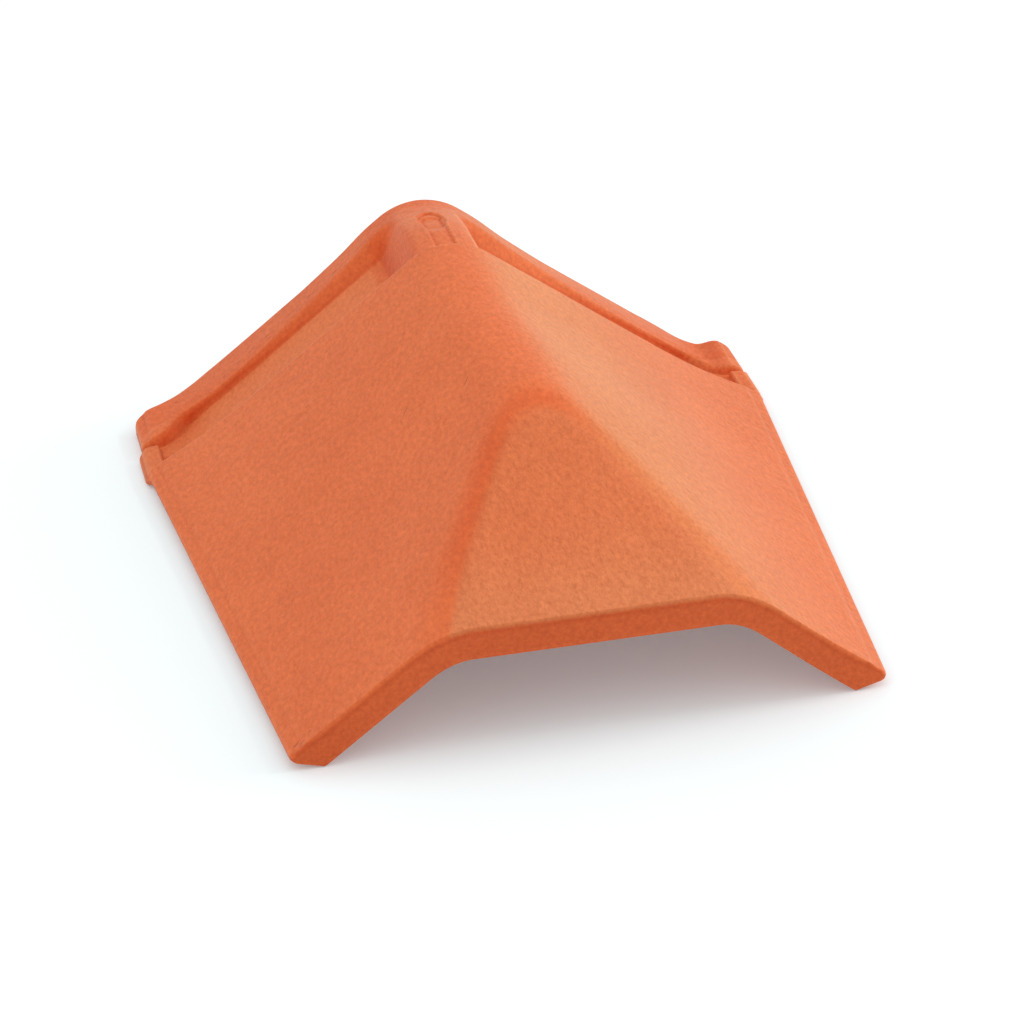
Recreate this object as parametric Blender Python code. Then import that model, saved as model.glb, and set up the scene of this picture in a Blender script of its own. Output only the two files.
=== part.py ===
"""Hip starter tile: an angular fired clay tile with a stepped head and a sloping facet at its nose.

The ridge runs along Y, the nose faces -Y, the head is at +Y and the tile rests on z = 0.
"""
import math

import bmesh
import bpy

MM = 0.001

# Body in plan
NOSE_HALF_WIDTH = 124.5 * MM
HEAD_HALF_WIDTH = 146.8 * MM
BODY_LENGTH = 287.0 * MM
HEAD_LENGTH = 78.0 * MM

# Wings
NOSE_PITCH = math.radians(35.9)
HEAD_PITCH = math.radians(36.5)
EDGE_HEIGHT = 6.9 * MM
HEAD_RIDGE_HEIGHT = 108.4 * MM
RIDGE_RADIUS = 31.5 * MM
WALL = 13.7 * MM
SKIRT_WIDTH = 48.0 * MM
SIDE_LIP = 2.6 * MM

# Round of the nose's corners in plan
NOSE_CORNER = 4.0 * MM

# The facet and the front of the ridge lean towards the right wing
LEAN_LEFT = 4.5 * MM
LEAN_RIGHT = 7.0 * MM
LEAN_REACH = 40.0 * MM

# Border strip along both side edges
BORDER_WIDTH = 7.0 * MM
BORDER_DEPTH = 0.7 * MM

# Sloping facet at the nose
FACET_LENGTH = 127.0 * MM
NOSE_HEIGHT = 53.3 * MM
FACET_NOSE_SLOPE = 0.25
FACET_BLEND_NOSE = 11.0 * MM
FACET_BLEND_APEX = 7.0 * MM

# Head: channel behind the body, rib behind the channel
CHANNEL_DEPTH = 14.5 * MM
CHANNEL_LENGTH = 50.0 * MM
RIB_DEPTH = 9.0 * MM
RIB_FALL = 1.6 * MM
RIB_CROWN_LIFT = 3.6 * MM
SHOULDER_LIFT = 1.8 * MM
SHOULDER_WIDTH = 48.0 * MM
CROWN_WALL_RUN = 10.0 * MM
CROWN_WALL_REACH = 85.0 * MM
RIB_BEVEL = 0.8 * MM
RIB_CROWN_BEVEL = 2.5 * MM
RIB_BEVEL_LENGTH = 11.0 * MM
CHANNEL_END_HEIGHT = 4.6 * MM
RIB_END_HEIGHT = 6.2 * MM
HEAD_WALL_DROP = 11.0 * MM
HEAD_CROWN_DROP = 4.5 * MM
HEAD_CORNER_SWEEP = 19.0 * MM
HEAD_CORNER_WIDTH = 40.0 * MM

# The channel's rear wall is drawn forward to the slots at both ends
WALL_END_WIDTH = 26.0 * MM

# Rib end knobs, channel end blocks and the slots between them
KNOB_WIDTH = 16.0 * MM
KNOB_RAMP = 9.0 * MM
KNOB_RISE = 2.8 * MM
SWELL_WIDTH = 38.0 * MM
SWELL_RAMP = 24.0 * MM
SWELL_RISE = 4.6 * MM
SWELL_DROP = 4.0 * MM
SWELL_DROP_WIDTH = 12.0 * MM
KNOB_CORNER = 6.0 * MM
BLOCK_WIDTH = 9.0 * MM
BLOCK_LENGTH = 32.0 * MM
BLOCK_RISE = 2.6 * MM
SLOT_LENGTH = 3.4 * MM
SLOT_DEPTH = 2.6 * MM

# Saddle over the ridge and the nail knock-out on it
SADDLE_HALF_WIDTH = 13.8 * MM
SADDLE_FOOT = 9.5 * MM
NAIL_SLOT_HALF_WIDTH = 5.0 * MM
NAIL_SLOT_DEPTH = 1.4 * MM
NAIL_HALF_WIDTH = 6.4 * MM
NAIL_HALF_LENGTH = 13.5 * MM
NAIL_DEPTH = 3.2 * MM
NAIL_FROM_STEP = 38.0 * MM

# Steep walls lean over this much in plan
WALL_RUN = 0.8 * MM

# Facets across the ridge, across each wing and along the body
CROWN_CELLS = 8
WING_CELLS = 9
END_CELLS = 5
BODY_CELLS = 26
NAIL_SEGMENTS = 32

OVERALL_LENGTH = BODY_LENGTH + HEAD_LENGTH
NOSE_Y = -OVERALL_LENGTH / 2.0
STEP_Y = NOSE_Y + BODY_LENGTH
HEAD_Y = NOSE_Y + OVERALL_LENGTH


def blend(a, b, t):
    return a + (b - a) * t


def smooth(t):
    t = min(1.0, max(0.0, t))
    return t * t * (3.0 - 2.0 * t)


def soft_min(a, b, k):
    h = max(k - abs(a - b), 0.0) / k
    return min(a, b) - k * h * h / 4.0


def soft_max(a, b, k):
    return -soft_min(-a, -b, k)


def eased(t, ease):
    """Straight rise from 0 to 1, eased over the given share at both ends."""
    t = min(1.0, max(0.0, t))
    slope = 1.0 / (1.0 - ease)
    if t < ease:
        return 0.5 * slope * t * t / ease
    if t > 1.0 - ease:
        return 1.0 - 0.5 * slope * (1.0 - t) * (1.0 - t) / ease
    return slope * (t - 0.5 * ease)


def along(y):
    """Share of the body's length from the nose to the step, held over the head."""
    return min(1.0, (y - NOSE_Y) / BODY_LENGTH)


def half_width(y):
    return blend(NOSE_HALF_WIDTH, HEAD_HALF_WIDTH, along(y))


def pitch(y):
    return blend(NOSE_PITCH, HEAD_PITCH, along(y))


def apex_height(y):
    """Height at which the two wing planes would meet over the ridge line."""
    nose = EDGE_HEIGHT + NOSE_HALF_WIDTH * math.tan(NOSE_PITCH)
    return blend(nose, HEAD_RIDGE_HEIGHT, along(y))


def roof(x, y, radius, lower):
    """Two pitched planes with a round over the ridge, lowered by the given height."""
    theta = pitch(y)
    x = abs(x)
    top = apex_height(y) - lower
    if x < radius * math.sin(theta):
        return top - radius / math.cos(theta) + math.sqrt(radius * radius - x * x)
    return top - x * math.tan(theta)


def skirt(x, y):
    """Lift that flattens the wings towards their lower edges."""
    width = half_width(y)
    lift = EDGE_HEIGHT - (apex_height(y) - width * math.tan(pitch(y)))
    share = max(0.0, (abs(x) - (width - SKIRT_WIDTH)) / SKIRT_WIDTH)
    return lift * share * share


def weather(x, y):
    """Outer surface of the wings and ridge before the facet and the head are shaped."""
    return roof(x, y, RIDGE_RADIUS, 0.0) + skirt(x, y)


def facet(y):
    run = y - NOSE_Y
    apex = roof(0.0, NOSE_Y + FACET_LENGTH, RIDGE_RADIUS, 0.0)
    curve = (apex - NOSE_HEIGHT - FACET_NOSE_SLOPE * FACET_LENGTH) / (FACET_LENGTH * FACET_LENGTH)
    return NOSE_HEIGHT + FACET_NOSE_SLOPE * run + curve * run * run


def facet_blend(y):
    return blend(FACET_BLEND_NOSE, FACET_BLEND_APEX, min(1.0, (y - NOSE_Y) / FACET_LENGTH))


def crown_half_width(y):
    """Half width of the ridge round, or of the facet where that is wider."""
    least = RIDGE_RADIUS * math.sin(pitch(y))
    return max(least, (apex_height(y) - facet(y)) / math.tan(pitch(y)))


def border(x, y):
    inner = half_width(y) - BORDER_WIDTH
    return BORDER_DEPTH * smooth((abs(x) - inner) / (2.0 * WALL_RUN))


def body_top(x, y):
    return soft_min(weather(x, y), facet(y), facet_blend(y)) - border(x, y)


def channel_length(x):
    """Length of the channel, which shortens at both ends."""
    inward = HEAD_HALF_WIDTH - abs(x)
    share = smooth((WALL_END_WIDTH - inward) / (0.65 * WALL_END_WIDTH))
    return blend(CHANNEL_LENGTH, BLOCK_LENGTH + SLOT_LENGTH, share)


def wall_run(x):
    """Run of the channel's rear wall, which leans back towards the crown."""
    near = 1.0 - smooth((abs(x) - SADDLE_HALF_WIDTH) / CROWN_WALL_REACH)
    return 2.0 * WALL_RUN + CROWN_WALL_RUN * near


def rib_top(x, back, surface):
    """Rib behind the channel: front bevel, back fall and raised shoulders."""
    crown = 1.0 - smooth((x - SADDLE_HALF_WIDTH) / (2.0 * SADDLE_HALF_WIDTH))
    near_crown = 1.0 - smooth((x - SADDLE_HALF_WIDTH) / (3.0 * SADDLE_HALF_WIDTH))
    fall = RIB_FALL * (back - CHANNEL_LENGTH) / (HEAD_LENGTH - CHANNEL_LENGTH)
    bevel = blend(RIB_BEVEL, RIB_CROWN_BEVEL, near_crown)
    bevel *= 1.0 - eased((back - channel_length(x)) / RIB_BEVEL_LENGTH, 0.25)
    shoulder = (x - SADDLE_HALF_WIDTH) / SHOULDER_WIDTH
    lift = smooth(shoulder / 0.35) * (1.0 - smooth((shoulder - 0.35) / 0.65))
    rib = surface - RIB_DEPTH - fall - bevel + RIB_CROWN_LIFT * crown + SHOULDER_LIFT * lift
    return soft_max(rib, RIB_END_HEIGHT, 4.0 * MM)


def rib_end(x, width):
    """Rise of the rib's ends: a short knob on the right, a long swell on the left."""
    if x < 0.0:
        drop = min(1.0, max(0.0, (-x - (width - SWELL_DROP_WIDTH)) / SWELL_DROP_WIDTH))
        return SWELL_RISE * smooth((-x - (width - SWELL_WIDTH)) / SWELL_RAMP) - SWELL_DROP * drop * drop
    return KNOB_RISE * smooth((x - (width - KNOB_WIDTH)) / KNOB_RAMP)


def head_top(x, y):
    """Outer surface behind the step: saddle, channel, rib, knobs and end blocks."""
    back = y - STEP_Y
    width = half_width(y)
    end = rib_end(x, width)
    x = abs(x)
    surface = weather(x, y)
    floor = soft_max(surface - CHANNEL_DEPTH, CHANNEL_END_HEIGHT, 4.0 * MM)
    rise = eased((back - channel_length(x)) / wall_run(x), 0.3)
    height = blend(floor, rib_top(x, back, surface) + end, rise)
    if back <= BLOCK_LENGTH + WALL_RUN:
        block = eased((x - (width - BLOCK_WIDTH)) / WALL_RUN, 0.3)
        block *= 1.0 - eased((back - BLOCK_LENGTH) / WALL_RUN, 0.3)
        height = blend(height, CHANNEL_END_HEIGHT + BLOCK_RISE, block)
    saddle_top = surface - (RIB_DEPTH + RIB_FALL - RIB_CROWN_LIFT) * smooth(back / HEAD_LENGTH) ** 2
    saddle = 1.0 - eased((x - SADDLE_HALF_WIDTH) / SADDLE_FOOT, 0.2)
    return blend(height, max(height, saddle_top), saddle)


def outer(x, y):
    if y <= STEP_Y + 1e-7:
        return body_top(x, y)
    return head_top(x, y)


def drawn(x, y):
    """Station that follows the channel's rear wall where the wall is drawn forward."""
    back = y - STEP_Y
    first = BLOCK_LENGTH + WALL_RUN
    wall = channel_length(x)
    top = 2.0 * WALL_RUN
    run = wall_run(x)
    if back <= first:
        return y
    if back <= CHANNEL_LENGTH:
        return STEP_Y + blend(first, wall, (back - first) / (CHANNEL_LENGTH - first))
    if back <= CHANNEL_LENGTH + top:
        return STEP_Y + wall + (back - CHANNEL_LENGTH) * run / top
    share = (back - CHANNEL_LENGTH - top) / (HEAD_LENGTH - CHANNEL_LENGTH - top)
    return STEP_Y + blend(wall + run, HEAD_LENGTH, share)


def corner_inset(y):
    """How far the side edge is drawn in by the plan rounds at the nose and at the rear."""
    nose = max(0.0, 1.0 - (y - NOSE_Y) / NOSE_CORNER)
    rear = max(0.0, 1.0 - (HEAD_Y - y) / KNOB_CORNER)
    inset = NOSE_CORNER * (1.0 - math.sqrt(1.0 - nose * nose))
    inset += KNOB_CORNER * (1.0 - math.sqrt(1.0 - rear * rear))
    return 0.6 * inset


def lean(x, y):
    """Sideways shift of the facet and of the ridge in front of the step."""
    left = LEAN_LEFT * smooth((y - NOSE_Y) / FACET_LENGTH)
    shift = blend(left, LEAN_RIGHT, smooth((x + LEAN_REACH) / (2.0 * LEAN_REACH)))
    edge = 1.0 - smooth((abs(x) - LEAN_REACH) / (half_width(y) - LEAN_REACH - BORDER_WIDTH))
    behind = (y - NOSE_Y - FACET_LENGTH) / (BODY_LENGTH - FACET_LENGTH)
    return shift * edge * (1.0 - smooth(behind / 0.8))


def swept(x, y):
    """Plan position of a head station: the head's corners are drawn towards the nose."""
    if y <= STEP_Y:
        return y
    share = smooth((abs(x) - (HEAD_HALF_WIDTH - HEAD_CORNER_WIDTH)) / HEAD_CORNER_WIDTH)
    return STEP_Y + (y - STEP_Y) * (1.0 - share * HEAD_CORNER_SWEEP / HEAD_LENGTH)


def head_share(y):
    """How far the underside has stepped down towards the head."""
    return smooth((y - (STEP_Y - WALL)) / WALL)


def inner(x, y):
    theta = pitch(y)
    lower = WALL / math.cos(theta)
    vault = roof(x, y, RIDGE_RADIUS - WALL, lower)
    vault = soft_min(vault, facet(y) - WALL * 1.04, 0.6 * facet_blend(y))
    crown = 1.0 - smooth((abs(x) - SADDLE_HALF_WIDTH) / SADDLE_HALF_WIDTH)
    drop = blend(HEAD_WALL_DROP, HEAD_CROWN_DROP, crown) * head_share(y)
    vault -= drop
    foot = (apex_height(y) - lower - HEAD_WALL_DROP * head_share(y)) / math.tan(theta)
    rise = (EDGE_HEIGHT - BORDER_DEPTH - SIDE_LIP) * (1.0 - head_share(y))
    slant = rise * max(0.0, abs(x) - foot) / (half_width(y) - foot)
    return max(vault, slant)


def stations_y():
    apex = NOSE_Y + FACET_LENGTH
    ys = [NOSE_Y, apex - 6.0 * MM, apex - 2.0 * MM, apex + 2.0 * MM]
    ys += [STEP_Y - WALL * 0.5, STEP_Y]
    back = [WALL_RUN, BLOCK_LENGTH * 0.5, BLOCK_LENGTH, BLOCK_LENGTH + WALL_RUN]
    back += [(BLOCK_LENGTH + CHANNEL_LENGTH) * 0.5, CHANNEL_LENGTH, CHANNEL_LENGTH + WALL_RUN]
    back += [CHANNEL_LENGTH + 2.0 * WALL_RUN, CHANNEL_LENGTH + 0.6 * RIB_BEVEL_LENGTH]
    back += [CHANNEL_LENGTH + RIB_BEVEL_LENGTH, HEAD_LENGTH - KNOB_CORNER]
    back += [HEAD_LENGTH - 0.5 * KNOB_CORNER, HEAD_LENGTH - 0.15 * KNOB_CORNER, HEAD_LENGTH]
    ys += [STEP_Y + b for b in back]
    ys += [NOSE_Y + NOSE_CORNER * share for share in (0.15, 0.5, 1.0)]
    cell = BODY_LENGTH / BODY_CELLS
    even = [NOSE_Y + cell * i for i in range(1, BODY_CELLS)]
    ys += [y for y in even if min(abs(y - mark) for mark in ys) > 0.25 * cell]
    return sorted(ys)


def stations_x(y):
    """Half section's x positions from the ridge line to the side edge."""
    crown = crown_half_width(y)
    width = half_width(y)
    xs = [crown * i / CROWN_CELLS for i in range(CROWN_CELLS + 1)]
    first = crown + 3.0 * MM
    last = width - WALL_END_WIDTH
    xs += [blend(first, last, i / WING_CELLS) for i in range(WING_CELLS + 1)]
    block = width - BLOCK_WIDTH
    xs += [blend(last, block, i / END_CELLS) for i in range(1, END_CELLS)]
    xs += [block, block + WALL_RUN]
    xs += [width - BORDER_WIDTH + 2.0 * WALL_RUN, width - corner_inset(y)]
    return xs


def add_material(obj, name, colour):
    mat = bpy.data.materials.new(name)
    mat.use_nodes = True
    shader = mat.node_tree.nodes["Principled BSDF"]
    shader.inputs["Base Color"].default_value = colour
    shader.inputs["Roughness"].default_value = 0.85
    obj.data.materials.append(mat)


def finish(bm, name):
    bmesh.ops.recalc_face_normals(bm, faces=bm.faces)
    mesh = bpy.data.meshes.new(name)
    bm.to_mesh(mesh)
    bm.free()
    obj = bpy.data.objects.new(name, mesh)
    bpy.context.scene.collection.objects.link(obj)
    return obj


def shell(name):
    """Closed shell between the outer and the inner surface."""
    bm = bmesh.new()
    ys = stations_y()
    tops, bottoms = [], []
    for y in ys:
        half = stations_x(y)
        xs = [-x for x in reversed(half[1:])] + half
        line = [(x, drawn(x, y)) for x in xs]
        tops.append([bm.verts.new((x + lean(x, v), swept(x, v), outer(x, v))) for x, v in line])
        bottoms.append([bm.verts.new((x + lean(x, v), swept(x, v), inner(x, v))) for x, v in line])
    for grid in (tops, bottoms):
        for a, b in zip(grid, grid[1:]):
            for i in range(len(a) - 1):
                bm.faces.new((a[i], a[i + 1], b[i + 1], b[i]))
    for top, bottom in ((tops[0], bottoms[0]), (tops[-1], bottoms[-1])):
        for i in range(len(top) - 1):
            bm.faces.new((top[i], top[i + 1], bottom[i + 1], bottom[i]))
    for side in (0, -1):
        for j in range(len(ys) - 1):
            bm.faces.new((tops[j][side], tops[j + 1][side], bottoms[j + 1][side], bottoms[j][side]))
    return finish(bm, name)


def prism(name, outline, low, high):
    bm = bmesh.new()
    ring = [bm.verts.new((x, y, low)) for x, y in outline]
    base = bm.faces.new(ring)
    lifted = bmesh.ops.extrude_face_region(bm, geom=[base])
    for item in lifted["geom"]:
        if isinstance(item, bmesh.types.BMVert):
            item.co.z = high
    return finish(bm, name)


def cut(target, cutter):
    cutter.hide_render = True
    cutter.display_type = "WIRE"
    mod = target.modifiers.new(cutter.name, "BOOLEAN")
    mod.operation = "DIFFERENCE"
    mod.solver = "EXACT"
    mod.object = cutter


def arc(cx, cy, radius, start, end, count):
    points = []
    for i in range(count + 1):
        angle = blend(start, end, i / count)
        points.append((cx + radius * math.cos(angle), cy + radius * math.sin(angle)))
    return points


def build():
    for obj in list(bpy.data.objects):
        bpy.data.objects.remove(obj, do_unlink=True)

    tile = shell("hip_starter_tile")
    add_material(tile, "fired_clay", (0.74, 0.19, 0.08, 1.0))

    nail_y = STEP_Y + NAIL_FROM_STEP
    saddle = outer(0.0, nail_y)
    high = saddle + 20.0 * MM
    half = NAIL_SLOT_HALF_WIDTH
    slot = [(-half, STEP_Y + WALL_RUN), (half, STEP_Y + WALL_RUN)]
    slot += arc(0.0, nail_y + half * 0.6, half, 0.0, math.pi, NAIL_SEGMENTS // 2)
    cut(tile, prism("nail_slot_cutter", slot, saddle - NAIL_SLOT_DEPTH, high))

    ring = arc(0.0, 0.0, 1.0, 0.0, 2.0 * math.pi, NAIL_SEGMENTS)[:-1]
    ring = [(x * NAIL_HALF_WIDTH, nail_y + y * NAIL_HALF_LENGTH) for x, y in ring]
    cut(tile, prism("nail_cutter", ring, saddle - NAIL_DEPTH, high))

    edge = HEAD_HALF_WIDTH
    notch_y = swept(edge, STEP_Y + BLOCK_LENGTH + WALL_RUN)
    notch_end = swept(edge, STEP_Y + BLOCK_LENGTH + SLOT_LENGTH)
    for side, label in ((-1.0, "left"), (1.0, "right")):
        corners = [(side * (edge - SLOT_DEPTH), notch_y), (side * (edge + SLOT_DEPTH), notch_y),
                   (side * (edge + SLOT_DEPTH), notch_end), (side * (edge - SLOT_DEPTH), notch_end)]
        cut(tile, prism("notch_cutter_" + label, corners, -2.0 * MM, 30.0 * MM))


build()
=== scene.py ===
"""Looks of the hip starter tile: fine clay body, procedural fired clay, floor, light and camera.

As in the solid, the ridge runs along Y, the nose faces -Y, the head is at +Y and the tile rests on z = 0.
"""
import math

import bpy
import numpy as np
from mathutils import Matrix, Vector


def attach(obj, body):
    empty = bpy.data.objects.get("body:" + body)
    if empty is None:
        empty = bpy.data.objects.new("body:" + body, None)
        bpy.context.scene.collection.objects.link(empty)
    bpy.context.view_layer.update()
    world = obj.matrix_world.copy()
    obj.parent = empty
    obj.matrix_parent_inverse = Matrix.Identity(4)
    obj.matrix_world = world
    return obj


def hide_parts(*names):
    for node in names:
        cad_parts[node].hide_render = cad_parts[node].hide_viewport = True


MM = 0.001
WHITE = (1.0, 1.0, 1.0)

# Body in plan, as in the solid
NOSE_HALF_WIDTH = 124.5 * MM
HEAD_HALF_WIDTH = 146.8 * MM
BODY_LENGTH = 287.0 * MM
HEAD_LENGTH = 78.0 * MM
NOSE_CORNER = 4.0 * MM
HEAD_CORNER_SWEEP = 19.0 * MM
HEAD_CORNER_WIDTH = 40.0 * MM

# Wings, as in the solid
NOSE_PITCH = math.radians(35.9)
HEAD_PITCH = math.radians(36.5)
EDGE_HEIGHT = 6.9 * MM
HEAD_RIDGE_HEIGHT = 108.4 * MM
RIDGE_RADIUS = 31.5 * MM
WALL = 13.7 * MM
SKIRT_WIDTH = 48.0 * MM
SIDE_LIP = 2.6 * MM
BORDER_WIDTH = 7.0 * MM
BORDER_DEPTH = 0.7 * MM

# Sloping facet at the nose, as in the solid; the underside takes shares of the wall and the blend
FACET_LENGTH = 127.0 * MM
NOSE_HEIGHT = 53.3 * MM
FACET_NOSE_SLOPE = 0.25
FACET_BLEND_NOSE = 11.0 * MM
FACET_BLEND_APEX = 7.0 * MM
FACET_WALL_SHARE = 1.04
FACET_UNDER_SHARE = 0.6

# The facet and the front of the ridge lean towards the right wing, as in the solid
LEAN_LEFT = 4.5 * MM
LEAN_RIGHT = 7.0 * MM
LEAN_REACH = 40.0 * MM
LEAN_END_SHARE = 0.8

# Channel behind the step and rib behind the channel, as in the solid
CHANNEL_DEPTH = 14.5 * MM
CHANNEL_LENGTH = 50.0 * MM
RIB_DEPTH = 9.0 * MM
RIB_FALL = 1.6 * MM
RIB_CROWN_LIFT = 3.6 * MM
SHOULDER_LIFT = 1.8 * MM
SHOULDER_WIDTH = 48.0 * MM
SHOULDER_PEAK = 0.35
CROWN_WALL_RUN = 10.0 * MM
CROWN_WALL_REACH = 85.0 * MM
RIB_BEVEL = 0.8 * MM
RIB_CROWN_BEVEL = 2.5 * MM
RIB_BEVEL_LENGTH = 11.0 * MM
BEVEL_EASE = 0.25
WALL_EASE = 0.3
CHANNEL_END_HEIGHT = 4.6 * MM
RIB_END_HEIGHT = 6.2 * MM
LEVEL_BLEND = 4.0 * MM
HEAD_WALL_DROP = 11.0 * MM
HEAD_CROWN_DROP = 4.5 * MM

# Ends of the channel and of the rib, as in the solid
WALL_END_WIDTH = 26.0 * MM
WALL_END_SHARE = 0.65
KNOB_WIDTH = 16.0 * MM
KNOB_RAMP = 9.0 * MM
KNOB_RISE = 2.8 * MM
KNOB_CORNER = 6.0 * MM
SWELL_WIDTH = 38.0 * MM
SWELL_RAMP = 24.0 * MM
SWELL_RISE = 4.6 * MM
SWELL_DROP = 4.0 * MM
SWELL_DROP_WIDTH = 12.0 * MM
BLOCK_WIDTH = 9.0 * MM
BLOCK_LENGTH = 32.0 * MM
BLOCK_RISE = 2.6 * MM
SLOT_LENGTH = 3.4 * MM

# Saddle as in the solid, and the nail knock-out on it, shallower and softer than in the solid
SADDLE_HALF_WIDTH = 13.8 * MM
SADDLE_FOOT = 9.5 * MM
SADDLE_EASE = 0.2
NAIL_SLOT_HALF_WIDTH = 5.0 * MM
NAIL_SLOT_DEPTH = 1.0 * MM
NAIL_SLOT_REACH = 0.6
NAIL_HALF_WIDTH = 6.4 * MM
NAIL_HALF_LENGTH = 13.5 * MM
NAIL_DEPTH = 2.2 * MM
NAIL_FROM_STEP = 38.0 * MM
NAIL_EDGE = 1.0 * MM

# Slot beside each end block, which only the fine body has; its width is the notch's length
SLOT_DEPTH = 2.2 * MM
SLOT_FRONT = 2.0 * MM
SLOT_BACK_SHARE = 0.55
SLOT_RAMP_SHARE = 0.4
SLOT_OVERLAP_SHARE = 0.5

# Side ledge along the channel's end, which only the fine body has
LEDGE_WIDTH = 1.4 * MM
LEDGE_HEIGHT = 3.6 * MM
LEDGE_FRONT = 9.0 * MM
LEDGE_TAPER = 9.0 * MM
LEDGE_END = 2.0 * MM
LEDGE_INSIDE = 0.3 * MM
LEDGE_FALL = 0.8 * MM

# Side notch and the lug behind it; the rounding of the rib's end is the fine body's own
NOTCH_LEAD = 1.5 * MM
NOTCH_RAMP = 2.0 * MM
LUG_RAMP = 4.0 * MM
KNOB_INSET = 0.8 * MM
RIB_END_ROUND = 4.0 * MM
RIB_END_DROP = 0.8 * KNOB_RISE

# Plan rounds at the rear and nose corners, kept just short of a full quarter
REAR_ROUND_SHARE = 0.8
NOSE_ROUND_SHARE = 0.6
ROUND_FULLNESS = 0.98

# Pressed clay softens every arris; the nose is cut and stays crisp
RIM_RADIUS = 1.4 * MM
NOSE_RADIUS = 0.6 * MM
RIM_STATIONS = 5
RIM_ROOM_SHARE = 0.47
LOWER_RIM_SHARE = 0.5
EDGE_REACH = 10.0 * MM
WALL_RINGS = 6
WALL_UNEVEN = 0.12 * MM

# Steep walls lean over this much in plan, a little more than in the solid
WALL_RUN = 1.2 * MM

# Widest spacing of the fine body's stations, and how fast it grows away from a mark
SPACING_ACROSS = 2.1 * MM
SPACING_ALONG = 2.3 * MM
SPACING_GROWTH = 0.22

# Relief that the die and the kiln leave: waves and lumps of two sizes each, calmer near the rims
WAVE_HEIGHT = 0.25 * MM
WAVE_CELL = 47.0 * MM
SMALL_WAVE_CELL = 21.0 * MM
SMALL_WAVE_SHARE = 0.5
LUMP_HEIGHT = 0.10 * MM
LUMP_CELL = 6.5 * MM
SMALL_LUMP_CELL = 3.1 * MM
SMALL_LUMP_SHARE = 0.6
CALM_WIDTH = 6.0 * MM
CALM_SHARE = 0.35
LEVEL_UNDERSIDE = 2.0 * MM
LATTICE = 256
SEED = 11

# Facet's field and edge bands, by millimetres of the wing planes above it; the rest are shares
FIELD_EDGE = (1.0, 4.0)
LEFT_BAND = (-8.0, 0.0, 2.5, 6.5)
RIGHT_BAND = (-5.0, -2.0, 0.5, 4.5)
TIP_BAND = (-3.5, -1.0, 0.5, 3.0)
LEFT_BAND_SHARE = 0.8
RIGHT_BAND_SHARE = 0.45
TIP_BAND_SHARE = 0.55
TIP_FROM = 0.80
BAND_FULL_FROM = 0.5
BAND_LEAST = 0.15

# The same tone on the rib's top and, as painted shade, on the saddle's left flank, which faces away from
# the light; by distance from the ridge line
RIB_TONE_SHARE = 0.55
FLANK_SHADE_BAND = (SADDLE_HALF_WIDTH - 3.0 * MM, SADDLE_HALF_WIDTH + 1.0 * MM, 26.0 * MM, 31.0 * MM)

# Painted sheen, a pale reflection on the right wing that thins towards its edge; paler colour in the left
# channel and low on the facet
PAINTED_SHEEN_START = (4.0 * MM, 30.0 * MM)
PAINTED_SHEEN_FADE = (35.0 * MM, 120.0 * MM)
PAINTED_SHEEN_FADE_SHARE = 0.90
PAINTED_SHEEN_HEAD_LOSS = 0.6
PALE_CHANNEL_SHARE = 0.3
PALE_CHANNEL_FROM = 24.0 * MM
PALE_FACET_SHARE = 0.40
PALE_FACET_REACH = 0.45

# Worn arrises that also carry a painted highlight, mostly left off the head's left side, and painted
# shade in creases, by the bend of the surface over a short reach
WEAR_REACH = 1.0 * MM
WORN_BEND = (0.10, 0.45)
CREASE_BEND = (0.06, 0.36)
LEFT_HEAD_HIGHLIGHT_LOSS = 0.8
LEFT_HEAD_RAMP = 4.0 * MM

# Shares of the cut face's tone, which is partly painted shade, on the nose's rim and the underside, and
# the painted shadow line below the rim
CUT_RIM_SHARE = 0.5
UNDERSIDE_SHARE = 0.8
NOSE_RING_SHADE = 0.8

# Marks of handling: place, half length, half width in millimetres, angle in degrees, strength
TICK_AND_SCRATCH = [(-16.6, -22.1, 3.0, 0.55, 56.0, 0.7),
                    (-42.2, -8.7, 4.5, 0.45, 62.0, 0.55)]
BLOTCHES = [(-112.4, -43.2, 8.0, 4.5, 70.0, 0.22),
            (-108.8, -76.5, 10.0, 5.0, 80.0, 0.22)]
MOULD_CRACKS = [(-31.0, 168.8, 3.4, 0.45, 4.0, 0.9),
                (-43.0, 168.6, 4.2, 0.5, -2.0, 0.8),
                (-56.0, 168.4, 3.0, 0.4, 3.0, 0.9),
                (-66.0, 167.2, 4.0, 0.5, 6.0, 0.8),
                (-78.0, 165.4, 3.6, 0.45, 8.0, 0.9),
                (-87.4, 163.9, 2.2, 0.45, 8.0, 0.8),
                (-93.6, 163.4, 0.9, 0.6, 0.0, 0.9),
                (-101.5, 161.8, 1.1, 0.6, 0.0, 0.9),
                (-124.8, 164.8, 1.0, 0.7, 0.0, 0.8)]
CORNER_PITS = [(-121.3, -177.2, 1.3, 0.7, 20.0, 1.0),
               (-118.6, -179.4, 0.9, 0.6, 0.0, 0.9),
               (-115.2, -176.8, 0.7, 0.6, 0.0, 0.8)]
DRAG_MARKS = [(72.0, 6.0, 9.0, 0.4, -38.0, 0.30),
              (94.0, -12.0, 7.0, 0.4, -34.0, 0.30),
              (66.0, -34.0, 10.0, 0.5, -40.0, 0.25),
              (104.0, -70.0, 8.0, 0.5, -36.0, 0.30),
              (84.0, -96.0, 9.0, 0.4, -42.0, 0.30),
              (110.0, 30.0, 6.0, 0.4, -33.0, 0.25)]
MARKS = TICK_AND_SCRATCH + BLOTCHES + MOULD_CRACKS + CORNER_PITS + DRAG_MARKS

# A mark is full within the second share of its size and gone beyond the first, all through the tile
MARK_FADE = (1.2, 0.6)
MARK_THROUGH = 1.0e3

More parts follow.
